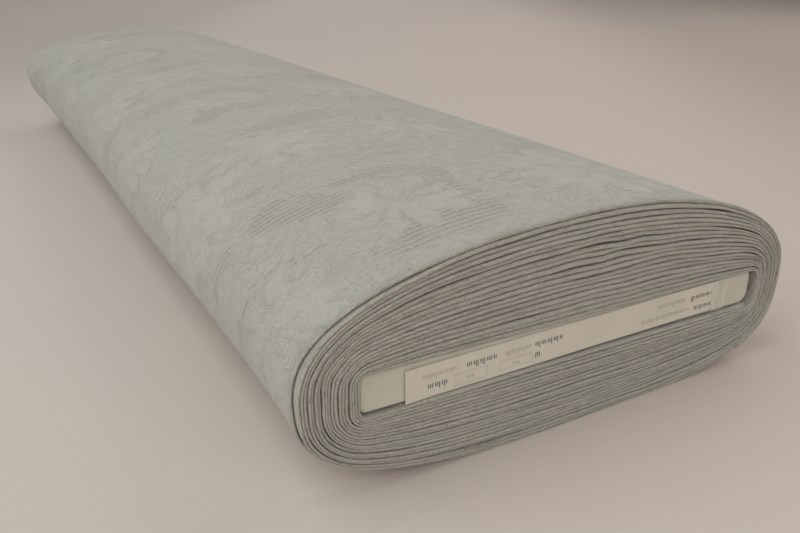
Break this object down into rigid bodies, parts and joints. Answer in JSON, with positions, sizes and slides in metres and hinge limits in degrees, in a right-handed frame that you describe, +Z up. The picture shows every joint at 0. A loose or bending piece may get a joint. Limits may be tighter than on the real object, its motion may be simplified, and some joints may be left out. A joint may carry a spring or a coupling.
{
  "type": "fabric bolt",
  "caption": "Doubled cloth wound flat round a paperboard core with a taped end label; the core slides out and the free cloth end lifts off the roll.",
  "frame": {"origin": "on the surface that the bolt lies on, in the middle of its width and length", "axes": "+Y along the bolt, from the labelled end at -Y to the other end; +X across the broad side, towards the edge that the free cloth end hangs over; +Z up out of the broad side"},
  "size_m": [0.243, 0.75, 0.0913],
  "materials": {
    "cloth": "matte woven cotton jacquard, pale sage grey",
    "board": "matte white-lined paperboard",
    "kraft": "matte brown paperboard",
    "paper": "smooth matte white paper",
    "tape": "clear satin adhesive tape"
  },
  "bodies": {
    "winding": {"cloth_winding": "cloth"},
    "tail_upper": {"cloth_tail_upper": "cloth"},
    "tail_middle": {"cloth_tail_middle": "cloth"},
    "tail_end": {"cloth_tail_end": "cloth"},
    "board": {"board_wrap": "board", "board_ribs": "kraft", "end_flap_front": "board", "end_flap_back": "board", "end_label": "paper", "label_tape_left": "tape", "label_tape_right": "tape"}
  },
  "joints": [
    {"name": "board_pull", "type": "slide", "parent": "winding", "child": "board", "axis": [0, -1, 0], "range_m": [0, 0.76]},
    {"name": "tail_lift", "type": "hinge", "parent": "winding", "child": "tail_upper", "pos_m": [0.07815, 0, 0.08154], "axis": [0, -1, 0], "range_deg": [0, 60]},
    {"name": "tail_bend_middle", "type": "hinge", "parent": "tail_upper", "child": "tail_middle", "pos_m": [0.11949, 0, 0.05362], "axis": [0, -1, 0], "range_deg": [0, 30]},
    {"name": "tail_bend_end", "type": "hinge", "parent": "tail_middle", "child": "tail_end", "pos_m": [0.11988, 0, 0.02555], "axis": [0, -1, 0], "range_deg": [0, 30]}
  ],
  "couplings": [
    {"joint": "tail_bend_middle", "follows": "tail_lift", "ratio": 0.4},
    {"joint": "tail_bend_end", "follows": "tail_lift", "ratio": 0.4}
  ]
}
